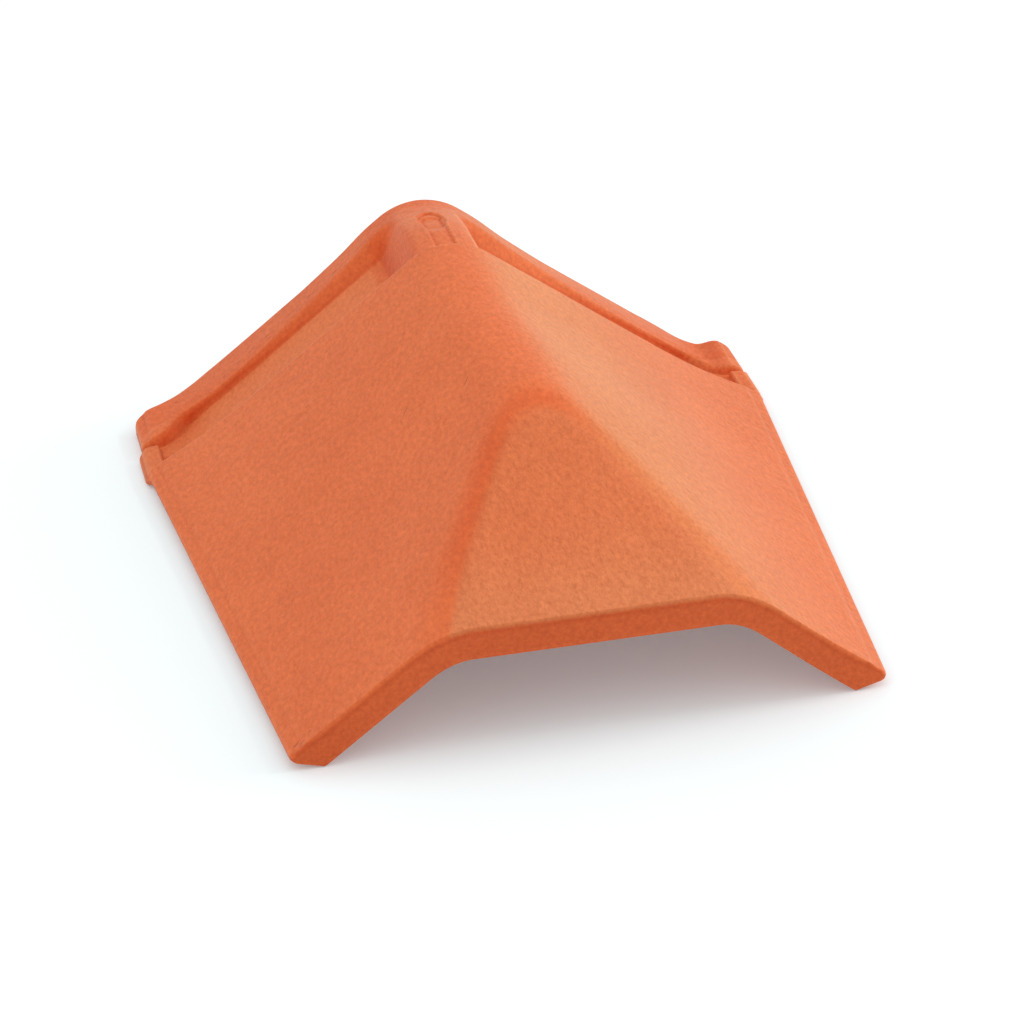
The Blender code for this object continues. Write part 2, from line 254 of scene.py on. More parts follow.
# Finish of the clay
CLAY_FINISH = {"Roughness": 0.65, "Specular IOR Level": 0.22, "Sheen Weight": 0.26,
               "Sheen Roughness": 0.32, "Sheen Tint": (0.70, 1.0, 0.78, 1.0)}
GRAIN_STRETCH = (1.0, 0.55, 1.0)

# Noise in the colour: scale, detail and roughness, then two stops of place and colour
BODY_NOISE = (9.0, 3.0, 0.55)
BODY_STOPS = [(0.30, (0.850, 0.182, 0.049)), (0.70, (0.900, 0.203, 0.058))]
MOTTLES = [((34.0, 4.0, 0.55), [(0.35, (0.97, 0.94, 0.92)), (0.65, WHITE)]),
           ((520.0, 3.0, 0.70), [(0.30, (0.78, 0.69, 0.66)), (0.72, WHITE)]),
           ((210.0, 2.0, 0.55), [(0.70, WHITE), (0.78, (0.90, 0.85, 0.83))])]

# Tones that multiply the colour where a mask says so
FIELD_TONE = (0.94, 1.10, 1.30)
# Darker band along the facet's edges and on the rib's top; painted shade on the saddle's left flank
BAND_TONE = (0.93, 0.72, 0.53)
# The cut faces' own darker, redder clay, with painted shade on them and on the underside
CUT_FACE_AND_SHADE_TONE = (0.76, 0.62, 0.52)
# Painted sheen: a pale reflection on the right wing; also paler colour in the left channel and low on the
# facet
PAINTED_SHEEN_AND_PALE_TONE = (0.98, 1.42, 1.72)
MARK_TONE = (0.80, 0.66, 0.58)
# Painted shade in creases and in the line below the nose's rim
CREASE_SHADE_TONE = (0.90, 0.74, 0.60)
# Worn arrises, paler partly as a painted highlight
WORN_AND_HIGHLIGHT_TONE = (1.05, 1.28, 1.55)

# Relief of the grain: scale, detail and roughness of the noise, with its depth and strength
PIT_NOISE = (330.0, 4.0, 0.62)
PIT_DEPTH = 0.6 * MM
PIT_STRENGTH = 0.7
SAND_NOISE = (1100.0, 3.0, 0.6)
SAND_DEPTH = 0.3 * MM
SAND_STRENGTH = 0.35
FIELD_NOISE = (430.0, 3.0, 0.6)
FIELD_DEPTH = 0.9 * MM

# Floor, a little below the tile so that the two faces don't meet
FLOOR_REACH = 6.0
FLOOR_DROP = 0.2 * MM
# The floor's emission is a painted glow: faint and cyan, it lifts the shadows on the floor and takes the
# red bounce out of them
FLOOR_FINISH_AND_GLOW = {"Base Color": (0.88, 0.88, 0.88, 1.0), "Roughness": 0.9, "Specular IOR Level": 0.0,
                "Emission Color": (0.58, 0.93, 1.0, 1.0), "Emission Strength": 0.19}

# Light
WORLD_LIGHT = 0.90
SUN_POWER = 0.92
SUN_ANGLE = math.radians(24.0)
SUN_PLACE = (1.75, 0.10, 0.98)

# Camera, fitted to the photograph
CAMERA_PLACE = Vector((-0.28655, -1.57955, 0.79388))
CAMERA_AZIMUTH = math.radians(-10.445)
CAMERA_ELEVATION = math.radians(25.954)
CAMERA_ROLL = math.radians(2.991)
CAMERA_LENS = 140.63
CAMERA_SENSOR = 36.0

OVERALL_LENGTH = BODY_LENGTH + HEAD_LENGTH
NOSE_Y = -OVERALL_LENGTH / 2.0
STEP_Y = NOSE_Y + BODY_LENGTH
HEAD_Y = NOSE_Y + OVERALL_LENGTH


def blend(a, b, t):
    return a + (b - a) * t


def smooth(t):
    t = np.clip(t, 0.0, 1.0)
    return t * t * (3.0 - 2.0 * t)


def rise(value, start, end):
    """Share that goes smoothly from 0 at the start to 1 at the end."""
    return smooth((value - start) / (end - start))


def hump(value, start, full, fading, end):
    """Share that rises to 1, holds and falls back to 0."""
    return rise(value, start, full) * (1.0 - rise(value, fading, end))


def ramp(t, soft):
    """Straight ramp from 0 to 1 with both ends eased over a share of its run."""
    t = np.clip(t, 0.0, 1.0)
    slope = 1.0 / (1.0 - soft)
    low = 0.5 * slope * t * t / soft
    high = 1.0 - 0.5 * slope * (1.0 - t) * (1.0 - t) / soft
    middle = slope * (t - 0.5 * soft)
    return np.where(t < soft, low, np.where(t > 1.0 - soft, high, middle))


def soft_min(a, b, k):
    h = np.maximum(k - np.abs(a - b), 0.0) / k
    return np.minimum(a, b) - k * h * h / 4.0


def soft_max(a, b, k):
    return -soft_min(-a, -b, k)


def along(y):
    """Share of the body's length from the nose to the step, held over the head."""
    return np.minimum(1.0, (y - NOSE_Y) / BODY_LENGTH)


def half_width(y):
    return blend(NOSE_HALF_WIDTH, HEAD_HALF_WIDTH, along(y))


def pitch(y):
    return blend(NOSE_PITCH, HEAD_PITCH, along(y))


def apex_height(y):
    """Height at which the two wing planes would meet over the ridge line."""
    nose = EDGE_HEIGHT + NOSE_HALF_WIDTH * math.tan(NOSE_PITCH)
    return blend(nose, HEAD_RIDGE_HEIGHT, along(y))


def roof(x, y, radius, lower):
    """Two pitched planes with a round over the ridge, lowered by the given height."""
    theta = pitch(y)
    x = np.abs(x)
    top = apex_height(y) - lower
    crown = top - radius / np.cos(theta) + np.sqrt(np.maximum(radius * radius - x * x, 0.0))
    return np.where(x < radius * np.sin(theta), crown, top - x * np.tan(theta))


def weather(x, y):
    """Wings and ridge, flattened towards the lower edges."""
    width = half_width(y)
    lift = EDGE_HEIGHT - (apex_height(y) - width * np.tan(pitch(y)))
    share = np.maximum(0.0, (np.abs(x) - (width - SKIRT_WIDTH)) / SKIRT_WIDTH)
    return roof(x, y, RIDGE_RADIUS, 0.0) + lift * share * share


def facet(y):
    """Height of the facet, a shallow curve from the nose up to the ridge."""
    run = y - NOSE_Y
    apex = float(roof(np.array(0.0), np.array(NOSE_Y + FACET_LENGTH), RIDGE_RADIUS, 0.0))
    curve = (apex - NOSE_HEIGHT - FACET_NOSE_SLOPE * FACET_LENGTH) / (FACET_LENGTH * FACET_LENGTH)
    return NOSE_HEIGHT + FACET_NOSE_SLOPE * run + curve * run * run


def facet_blend(y):
    return blend(FACET_BLEND_NOSE, FACET_BLEND_APEX, np.minimum(1.0, (y - NOSE_Y) / FACET_LENGTH))


def body_top(x, y):
    """Outer surface in front of the step: wings, facet and the sunken border."""
    inner_edge = half_width(y) - BORDER_WIDTH
    border = BORDER_DEPTH * smooth((np.abs(x) - inner_edge) / (2.0 * WALL_RUN))
    return soft_min(weather(x, y), facet(y), facet_blend(y)) - border


def channel_length(x):
    """The channel's rear wall, drawn forward to the side notch at both ends."""
    outward = np.abs(x) - (HEAD_HALF_WIDTH - WALL_END_WIDTH)
    share = smooth(outward / (WALL_END_SHARE * WALL_END_WIDTH))
    return blend(CHANNEL_LENGTH, BLOCK_LENGTH + SLOT_LENGTH, share)


def wall_run(x):
    """Run of the channel's rear wall, which leans back towards the crown."""
    near = 1.0 - smooth((np.abs(x) - SADDLE_HALF_WIDTH) / CROWN_WALL_REACH)
    return 2.0 * WALL_RUN + CROWN_WALL_RUN * near


def rib_end(x, width):
    """Rise of the rib's ends: a short knob on the right, a long swell on the left."""
    knob = KNOB_RISE * smooth((x - (width - KNOB_WIDTH)) / KNOB_RAMP)
    drop = np.clip((-x - (width - SWELL_DROP_WIDTH)) / SWELL_DROP_WIDTH, 0.0, 1.0)
    swell = SWELL_RISE * smooth((-x - (width - SWELL_WIDTH)) / SWELL_RAMP)
    return np.where(x < 0.0, swell - SWELL_DROP * drop * drop, knob)


def rib_top(x, back, surface):
    """Rib behind the channel: front bevel, back fall and raised shoulders."""
    crown = 1.0 - smooth((x - SADDLE_HALF_WIDTH) / (2.0 * SADDLE_HALF_WIDTH))
    near_crown = 1.0 - smooth((x - SADDLE_HALF_WIDTH) / (3.0 * SADDLE_HALF_WIDTH))
    fall = RIB_FALL * (back - CHANNEL_LENGTH) / (HEAD_LENGTH - CHANNEL_LENGTH)
    behind = 1.0 - ramp((back - channel_length(x)) / RIB_BEVEL_LENGTH, BEVEL_EASE)
    bevel = blend(RIB_BEVEL, RIB_CROWN_BEVEL, near_crown) * behind
    shoulder = (x - SADDLE_HALF_WIDTH) / SHOULDER_WIDTH
    past_peak = smooth((shoulder - SHOULDER_PEAK) / (1.0 - SHOULDER_PEAK))
    lift = SHOULDER_LIFT * smooth(shoulder / SHOULDER_PEAK) * (1.0 - past_peak)
    rib = surface - RIB_DEPTH - fall + RIB_CROWN_LIFT * crown + lift - bevel
    return soft_max(rib, RIB_END_HEIGHT, LEVEL_BLEND)


def end_slot(x, back, side, in_block):
    """Share of the narrow slot between the channel and its end block."""
    slot = smooth((x - (side - SLOT_LENGTH)) / (SLOT_RAMP_SHARE * SLOT_LENGTH)) * (1.0 - in_block)
    slot = slot * (1.0 - smooth((x - (side + SLOT_OVERLAP_SHARE * SLOT_LENGTH)) / WALL_RUN))
    slot = slot * smooth((back - SLOT_FRONT) / WALL_RUN)
    return slot * (1.0 - smooth((back - SLOT_BACK_SHARE * BLOCK_LENGTH) / WALL_RUN))


def head_top(x, y):
    """Outer surface behind the step: saddle, channel, rib, rib ends, end blocks and their slots."""
    back = y - STEP_Y
    width = half_width(y)
    end = rib_end(x, width)
    x = np.abs(x)
    surface = weather(x, y)
    floor = soft_max(surface - CHANNEL_DEPTH, CHANNEL_END_HEIGHT, LEVEL_BLEND)
    outermost = np.clip((x - (width - RIB_END_ROUND)) / RIB_END_ROUND, 0.0, 1.0)
    rib = rib_top(x, back, surface) + end - RIB_END_DROP * outermost ** 2
    height = blend(floor, rib, ramp((back - channel_length(x)) / wall_run(x), WALL_EASE))
    side = width - BLOCK_WIDTH
    in_block = ramp((x - side) / WALL_RUN, WALL_EASE)
    in_block = in_block * (1.0 - ramp((back - BLOCK_LENGTH) / WALL_RUN, WALL_EASE))
    height = height - SLOT_DEPTH * end_slot(x, back, side, in_block)
    height = blend(height, CHANNEL_END_HEIGHT + BLOCK_RISE, in_block)
    saddle_top = surface - (RIB_DEPTH + RIB_FALL - RIB_CROWN_LIFT) * smooth(back / HEAD_LENGTH) ** 2
    saddle = 1.0 - ramp((x - SADDLE_HALF_WIDTH) / SADDLE_FOOT, SADDLE_EASE)
    return blend(height, np.maximum(height, saddle_top), saddle)


def nail_recess(x, y):
    """Depth of the shallow slot on the saddle and of the nail knock-out inside it."""
    back = y - STEP_Y
    nail = back - NAIL_FROM_STEP
    round_end = np.hypot(x, np.maximum(0.0, nail - NAIL_SLOT_REACH * NAIL_SLOT_HALF_WIDTH))
    inside = np.minimum(NAIL_SLOT_HALF_WIDTH - round_end, back - NAIL_EDGE)
    slot = smooth(inside / NAIL_EDGE + 0.5)
    ring = 1.0 - np.hypot(x / NAIL_HALF_WIDTH, nail / NAIL_HALF_LENGTH)
    hole = smooth(ring * NAIL_HALF_WIDTH / NAIL_EDGE + 0.5)
    return NAIL_SLOT_DEPTH * slot + (NAIL_DEPTH - NAIL_SLOT_DEPTH) * hole


def ledge(y):
    """Share of the side ledge, which runs from just before the step to the side notch."""
    back = y - STEP_Y
    front = smooth((back + LEDGE_FRONT) / LEDGE_TAPER)
    return front * (1.0 - smooth((back - BLOCK_LENGTH + LEDGE_END) / LEDGE_END))


def plan_round(share):
    """How far an edge has curved in at a share of its round, from 0 to nearly 1."""
    return 1.0 - np.sqrt(1.0 - ROUND_FULLNESS * share * share)


def edge_offset(y):
    """How far the edge stands out from the straight side: ledge, notch, lug and corner rounds."""
    back = y - STEP_Y
    notch = smooth((back - BLOCK_LENGTH + NOTCH_LEAD) / NOTCH_RAMP)
    lug = smooth((back - BLOCK_LENGTH - NOTCH_LEAD) / LUG_RAMP)
    rear = np.clip((back - (HEAD_LENGTH - KNOB_CORNER)) / KNOB_CORNER, 0.0, 1.0)
    nose = 1.0 - np.clip((y - NOSE_Y) / NOSE_CORNER, 0.0, 1.0)
    inset = notch * blend(SLOT_LENGTH, KNOB_INSET, lug)
    inset = inset + KNOB_CORNER * REAR_ROUND_SHARE * plan_round(rear)
    inset = inset + NOSE_CORNER * NOSE_ROUND_SHARE * plan_round(nose)
    return LEDGE_WIDTH * ledge(y) - inset


def outer(x, y):
    """Outer surface of the whole tile, with the side ledge outside the straight side."""
    body = body_top(x, y)
    head = head_top(x, y) - nail_recess(x, y)
    top = blend(body, np.minimum(head, body), smooth((y - STEP_Y) / WALL_RUN))
    beyond = smooth((np.abs(x) - half_width(y) + LEDGE_INSIDE) / LEDGE_FALL) * ledge(y)
    return blend(top, np.minimum(top, LEDGE_HEIGHT), beyond)


def head_share(y):
    """How far the underside has stepped down towards the head."""
    return smooth((y - (STEP_Y - WALL)) / WALL)


def inner(x, y):
    """Underside: a vault one wall below the outer form, and a skirt that rises to the side lip."""
    theta = pitch(y)
    lower = WALL / np.cos(theta)
    vault = roof(x, y, RIDGE_RADIUS - WALL, lower)
    vault = soft_min(vault, facet(y) - WALL * FACET_WALL_SHARE, FACET_UNDER_SHARE * facet_blend(y))
    crown = 1.0 - smooth((np.abs(x) - SADDLE_HALF_WIDTH) / SADDLE_HALF_WIDTH)
    vault = vault - blend(HEAD_WALL_DROP, HEAD_CROWN_DROP, crown) * head_share(y)
    foot = (apex_height(y) - lower - HEAD_WALL_DROP * head_share(y)) / np.tan(theta)
    lift = (EDGE_HEIGHT - BORDER_DEPTH - SIDE_LIP) * (1.0 - head_share(y))
    slant = lift * np.maximum(0.0, np.abs(x) - foot) / (half_width(y) - foot)
    return np.maximum(vault, slant)


def lean(x, y):
    """Sideways shift of the facet and of the ridge in front of the step."""
    left = LEAN_LEFT * smooth((y - NOSE_Y) / FACET_LENGTH)
    shift = blend(left, LEAN_RIGHT, smooth((x + LEAN_REACH) / (2.0 * LEAN_REACH)))
    edge = 1.0 - smooth((np.abs(x) - LEAN_REACH) / (half_width(y) - LEAN_REACH - BORDER_WIDTH))
    behind = (y - NOSE_Y - FACET_LENGTH) / (BODY_LENGTH - FACET_LENGTH)
    return shift * edge * (1.0 - smooth(behind / LEAN_END_SHARE))


def swept(x, y):
    """Place along Y in plan: the head's corners are drawn towards the nose."""
    share = smooth((np.abs(x) - (HEAD_HALF_WIDTH - HEAD_CORNER_WIDTH)) / HEAD_CORNER_WIDTH)
    back = np.maximum(0.0, y - STEP_Y)
    return y - back * share * HEAD_CORNER_SWEEP / HEAD_LENGTH


def spaced(marks, widest):
    """Stations between marks (position, spacing): each span takes the finer spacing near its ends."""
    stations = [marks[0][0]]
    for (a, fine_a), (b, fine_b) in zip(marks, marks[1:]):
        position = a
        inside = []
        while True:
            left, right = position - a, b - position
            gap = min(widest, fine_a + SPACING_GROWTH * left, fine_b + SPACING_GROWTH * right)
            position += gap
            if position > b - 0.5 * gap:
                break
            inside.append(position)
        stations += inside + [b]
    return np.array(stations)


def rim_marks(start, inward, radius=RIM_RADIUS):
    """Stations that follow a quarter round at an edge."""
    angles = np.linspace(0.0, math.pi / 2.0, RIM_STATIONS)
    return [start + inward * radius * (1.0 - math.cos(a)) for a in angles]


def stations_across():
    """Half section in shares of the half width at the head."""
    block = HEAD_HALF_WIDTH - BLOCK_WIDTH
    border = HEAD_HALF_WIDTH - BORDER_WIDTH
    marks = [(0.0, 0.5 * MM),
             (NAIL_SLOT_HALF_WIDTH, 0.4 * MM),
             (NAIL_HALF_WIDTH + 0.6 * MM, 0.6 * MM),
             (SADDLE_HALF_WIDTH, 0.9 * MM),
             (SADDLE_HALF_WIDTH + SADDLE_FOOT, 0.9 * MM),
             (block - SLOT_LENGTH, 0.6 * MM),
             (block, 0.5 * MM),
             (border + 2.0 * WALL_RUN, 0.6 * MM),
             (HEAD_HALF_WIDTH - RIM_RADIUS, 0.4 * MM)]
    xs = list(spaced(marks, SPACING_ACROSS))
    xs += sorted(rim_marks(HEAD_HALF_WIDTH, -1.0))[1:]
    return np.array(xs) / HEAD_HALF_WIDTH


def stations_along():
    """Places along Y from the nose to the rear of the head."""
    block, wall = STEP_Y + BLOCK_LENGTH, STEP_Y + CHANNEL_LENGTH
    marks = [(NOSE_Y + NOSE_RADIUS, 0.5 * MM),
             (STEP_Y - WALL_RUN, 0.5 * MM),
             (STEP_Y, 0.3 * MM),
             (STEP_Y + WALL_RUN, 0.35 * MM),
             (block, 0.4 * MM),
             (block + LUG_RAMP, 0.6 * MM),
             (wall, 0.5 * MM),
             (wall + 2.0 * WALL_RUN, 0.5 * MM),
             (HEAD_Y - RIM_RADIUS, 0.5 * MM)]
    ys = sorted(rim_marks(NOSE_Y, 1.0, NOSE_RADIUS))[:-1] + list(spaced(marks, SPACING_ALONG))
    return np.array(ys + sorted(rim_marks(HEAD_Y, -1.0))[1:])


def rim_drop(distance, radius):
    """How far a quarter round lies below the surface at a distance from the edge."""
    gap = np.clip(radius - distance, 0.0, radius)
    return radius - np.sqrt(radius * radius - gap * gap)


def value_noise(x, y, cell, rng):
    """Smooth noise from -1 to 1 on a random lattice."""
    lattice = rng.uniform(-1.0, 1.0, (LATTICE, LATTICE))
    u, v = x / cell + LATTICE / 2, y / cell + LATTICE / 2
    i, j = np.floor(u).astype(int), np.floor(v).astype(int)
    s, t = smooth(u - i), smooth(v - j)
    i, j = i % (LATTICE - 1), j % (LATTICE - 1)
    low = blend(lattice[i, j], lattice[i + 1, j], s)
    high = blend(lattice[i, j + 1], lattice[i + 1, j + 1], s)
    return blend(low, high, t)


def relief(x, y):
    """Unevenness of the pressed faces, in metres."""
    rng = np.random.default_rng(SEED)
    wave = value_noise(x, y, WAVE_CELL, rng)
    wave = wave + SMALL_WAVE_SHARE * value_noise(x, y, SMALL_WAVE_CELL, rng)
    lump = value_noise(x, y, LUMP_CELL, rng)
    lump = lump + SMALL_LUMP_SHARE * value_noise(x, y, SMALL_LUMP_CELL, rng)
    return WAVE_HEIGHT * wave + LUMP_HEIGHT * lump


def facet_tone(x, y):
    """Shares of the facet's field, and of the band along its edges, on the rib and on the flank, where
    the band is painted shade.
    """
    gap = (weather(x, y) - facet(y)) / MM
    run = (y - NOSE_Y) / FACET_LENGTH
    back = y - STEP_Y
    left = LEFT_BAND_SHARE * hump(gap, *LEFT_BAND)
    right = RIGHT_BAND_SHARE * hump(gap, *RIGHT_BAND)
    tip = TIP_BAND_SHARE * hump(gap, *TIP_BAND)
    band = blend(np.where(x < 0.0, left, right), tip, rise(run, TIP_FROM, 1.0))
    band = band * blend(BAND_LEAST, 1.0, smooth(run / BAND_FULL_FROM))
    rib = RIB_TONE_SHARE * smooth((back - CHANNEL_LENGTH) / WALL_RUN)
    # Painted shade on the saddle's left flank, the side away from the light
    flank_shade = hump(-x, *FLANK_SHADE_BAND) * smooth(back / WALL_RUN)
    return rise(gap, *FIELD_EDGE), np.maximum(band, np.maximum(rib, flank_shade))


def painted_sheen_and_pale(x, y, field):
    """Share of painted sheen on the right wing, thinning to its edge, and of paler colour in the left
    channel and low on the facet.
    """
    back = y - STEP_Y
    head = smooth(back / WALL_RUN)
    # Painted sheen on the right wing: a pale reflection that fades towards the wing's edge and over the
    # head
    wing = rise(x, *PAINTED_SHEEN_START) * (1.0 - field) * (1.0 - PAINTED_SHEEN_FADE_SHARE * rise(x, *PAINTED_SHEEN_FADE))
    wing = wing * (1.0 - PAINTED_SHEEN_HEAD_LOSS * head)
    # Paler colour in the left channel and low on the facet
    in_channel = 1.0 - smooth((back - channel_length(x) + WALL_RUN) / WALL_RUN)
    channel = PALE_CHANNEL_SHARE * head * in_channel * (x < -PALE_CHANNEL_FROM)
    low = 1.0 - smooth((y - NOSE_Y) / (PALE_FACET_REACH * FACET_LENGTH))
    return wing + channel + PALE_FACET_SHARE * field * low


def wear_highlight_and_crease_shade(z, x, y):
    """Shares of bare arrises, which also carry a painted highlight, and of painted shade in creases, from
    the bend of the surface.
    """
    along_bend = np.gradient(np.gradient(z, y, axis=0), y, axis=0)
    across_bend = np.gradient(np.gradient(z, x, axis=1), x, axis=1)
    bend = -(along_bend + across_bend) * WEAR_REACH
    return rise(bend, *WORN_BEND), rise(-bend, *CREASE_BEND)


def plan_grid():
    """Plan positions of the fine grid, with its stations across, as shares, and along."""
    half = stations_across()
    share = np.concatenate([-half[:0:-1], half])
    ys = stations_along()
    y = np.repeat(ys[:, None], len(share), axis=1)
    x = share[None, :] * half_width(ys)[:, None]
    reach = smooth((np.abs(x) - (half_width(y) - EDGE_REACH)) / EDGE_REACH)
    return x + np.sign(x) * reach * edge_offset(y), y, share, ys


def surface_levels(x, y):
    """Heights of the outer surface and the underside, with rounded rims and the relief."""
    side = half_width(y) + edge_offset(y) - np.abs(x)
    top, bottom = outer(x, y), inner(x, y)
    room = RIM_ROOM_SHARE * (top - bottom)
    ends = rim_drop(y - NOSE_Y, NOSE_RADIUS) + rim_drop(HEAD_Y - y, RIM_RADIUS)
    rim = ends + rim_drop(side, RIM_RADIUS)
    inside = np.minimum(np.minimum(side, y - NOSE_Y), HEAD_Y - y)
    calm = smooth(inside / CALM_WIDTH)
    uneven = relief(x, y)
    top = top - np.minimum(room, rim) + uneven * blend(CALM_SHARE, 1.0, calm)
    sag = np.abs(uneven) * (bottom > LEVEL_UNDERSIDE) * calm
    return top, bottom + np.minimum(room, LOWER_RIM_SHARE * rim) - sag


def wall_rings(points, loop, count):
    """Rings of points between the upper and the lower rim, with a slightly uneven face."""
    rng = np.random.default_rng(SEED + 1)
    upper, lower = points[loop], points[loop + count]
    centre = 0.5 * (np.roll(upper, -1, axis=0) - np.roll(upper, 1, axis=0))
    outward = np.stack([centre[:, 1], -centre[:, 0], np.zeros(len(loop))], -1)
    outward /= np.maximum(np.linalg.norm(outward, axis=1, keepdims=True), 1e-9)
    rings = []
    for step in range(1, WALL_RINGS + 1):
        t = step / (WALL_RINGS + 1.0)
        uneven = rng.uniform(-1.0, 1.0, (len(loop), 1))
        uneven = (uneven + np.roll(uneven, 1, axis=0) + np.roll(uneven, -1, axis=0)) / 3.0
        rings.append(blend(upper, lower, t) + outward * (WALL_UNEVEN * uneven))
    return rings


def closed_shell(x, y, top, bottom):
    """Points and quads of the closed shell, and the loop of points around its upper rim."""
    leant, plan = x + lean(x, y), swept(x, y)
    sheets = [np.stack([leant, plan, level], -1).reshape(-1, 3) for level in (top, bottom)]
    points = np.concatenate(sheets)
    count = x.size
    index = np.arange(count).reshape(x.shape)
    corners = [index[:-1, :-1], index[:-1, 1:], index[1:, 1:], index[1:, :-1]]
    upper = np.stack(corners, -1).reshape(-1, 4)
    quads = [upper, upper[:, ::-1] + count]
    loop = np.concatenate([index[0, :-1], index[:-1, -1], index[-1, :0:-1], index[:0:-1, 0]])
    rims = [loop]
    for ring in wall_rings(points, loop, count):
        rims.append(len(points) + np.arange(len(loop)))
        points = np.concatenate([points, ring])
    rims.append(loop + count)
    for above, below in zip(rims, rims[1:]):
        quads.append(np.stack([above, below, np.roll(below, -1), np.roll(above, -1)], -1))
    return points, np.concatenate(quads), loop


def painted_masks(x, y, share, ys, points, loop):
    """Two masks for every point: facet field, band with the flank's painted shade, and cut face with its
    painted shade; then wear with its painted highlight, painted shade in creases, and painted sheen with
    paler patches.
    """
    count = x.size
    field, band = facet_tone(x, y)
    worn_and_highlit, crease_shade = wear_highlight_and_crease_shade(outer(x, y), share * HEAD_HALF_WIDTH, ys)
    # The painted highlight on the arrises is mostly left off the left of the head, the side away from the
    # light
    on_left_head = (x < 0.0) * smooth((y - STEP_Y) / LEFT_HEAD_RAMP)
    worn_and_highlit = worn_and_highlit * (1.0 - LEFT_HEAD_HIGHLIGHT_LOSS * on_left_head)
    # Cut-face tone on the nose's rim: the cut clay's colour with painted shade
    cut_face_and_shade = smooth(1.0 - (y - NOSE_Y) / NOSE_RADIUS) * CUT_RIM_SHARE
    solid = np.ones_like(field)
    tone = np.zeros((len(points), 4))
    tone[:count] = np.stack([field, band, cut_face_and_shade, solid], -1).reshape(-1, 4)
    # The underside and the walls take the cut-face tone, which is partly painted shade
    tone[count:] = (0.0, 0.0, UNDERSIDE_SHARE, 1.0)
    tone[2 * count:] = (0.0, 0.0, 1.0, 1.0)
    edges = np.zeros((len(points), 4))
    edges[:count] = np.stack([worn_and_highlit, crease_shade, painted_sheen_and_pale(x, y, field), solid], -1).reshape(-1, 4)
    # Painted shadow line along the first ring below the nose's rim
    first_ring = 2 * count + np.arange(len(loop))
    edges[first_ring, 1] = NOSE_RING_SHADE * (points[loop][:, 1] < NOSE_Y + NOSE_RADIUS)
    return tone, edges


def paint(mesh, name, values):
    layer = mesh.color_attributes.new(name, "FLOAT_COLOR", "POINT")
    layer.data.foreach_set("color", values.ravel())


def tile_mesh():
    """Closed fine shell of the tile, rounded at every rim and painted with its masks."""
    x, y, share, ys = plan_grid()
    top, bottom = surface_levels(x, y)
    points, faces, loop = closed_shell(x, y, top, bottom)
    tone, edges = painted_masks(x, y, share, ys, points, loop)
    mesh = bpy.data.meshes.new("clay_body")
    mesh.from_pydata(points.tolist(), [], faces.tolist())
    mesh.polygons.foreach_set("use_smooth", np.ones(len(faces), dtype=bool))
    paint(mesh, "clay_tone", tone)
    paint(mesh, "clay_edges", edges)
    mesh.update()
    return mesh


class NodeTree:
    """A material's nodes, with one method for each kind that the clay needs."""

    def __init__(self, mat):
        self.nodes = mat.node_tree.nodes
        self.links = mat.node_tree.links

    def feed(self, socket, value):
        """Link another node's output to the socket, or set its constant."""
        if isinstance(value, bpy.types.NodeSocket):
            self.links.new(value, socket)
        else:
            socket.default_value = value

    def make(self, kind, settings, inputs):
        """New node. Its settings come first, because they decide which inputs it has."""
        node = self.nodes.new(kind)
        for name, value in settings.items():
            setattr(node, name, value)
        for name, value in inputs.items():
            self.feed(node.inputs[name], value)
        return node

    def painted(self, name):
        """Red, green and blue shares of a mask painted on the mesh."""
        source = self.make("ShaderNodeAttribute", {"attribute_name": name}, {})
        parts = self.make("ShaderNodeSeparateColor", {}, {"Color": source.outputs["Color"]})
        return parts.outputs["Red"], parts.outputs["Green"], parts.outputs["Blue"]

    def noise(self, vector, scale, detail, rough):
        inputs = {"Vector": vector, "Scale": scale, "Detail": detail, "Roughness": rough}
        return self.make("ShaderNodeTexNoise", {}, inputs).outputs["Fac"]

    def ramp(self, source, stops):
        """Colour between two stops of place and colour."""
        node = self.make("ShaderNodeValToRGB", {}, {"Fac": source})
        for element, (position, colour) in zip(node.color_ramp.elements, stops):
            element.position = position
            element.color = (*colour, 1.0)
        return node.outputs["Color"]

    def times(self, colour, tint, share=1.0):
        """Colour multiplied by a constant tint or by another colour, as far as the share says."""
        if isinstance(tint, tuple):
            tint = (*tint, 1.0)
        settings = {"data_type": "RGBA", "blend_type": "MULTIPLY"}
        inputs = {"Factor": share, "A": colour, "B": tint}
        return self.make("ShaderNodeMix", settings, inputs).outputs["Result"]

    def maths(self, operation, a, b):
        return self.make("ShaderNodeMath", {"operation": operation}, {0: a, 1: b}).outputs["Value"]

    def mark(self, vector, x, y, length, width, angle):
        """Mask of one elongated mark, placed in millimetres on the plan."""
        inputs = {"Vector": vector, "Location": (x * MM, y * MM, 0.0),
                  "Rotation": (0.0, 0.0, math.radians(angle)),
                  "Scale": (length * MM, width * MM, MARK_THROUGH)}
        place = self.make("ShaderNodeMapping", {"vector_type": "TEXTURE"}, inputs)
        inputs = {0: place.outputs["Vector"]}
        away = self.make("ShaderNodeVectorMath", {"operation": "LENGTH"}, inputs)
        inputs = {"Value": away.outputs["Value"], "From Min": MARK_FADE[0], "From Max": MARK_FADE[1]}
        fade = self.make("ShaderNodeMapRange", {"interpolation_type": "SMOOTHSTEP"}, inputs)
        return fade.outputs["Result"]

    def bump(self, height, depth, strength, normal=None):
        """Bump over another one, where a normal is given."""
        inputs = {"Height": height, "Distance": depth, "Strength": strength}
        if normal is not None:
            inputs["Normal"] = normal
        return self.make("ShaderNodeBump", {}, inputs).outputs["Normal"]


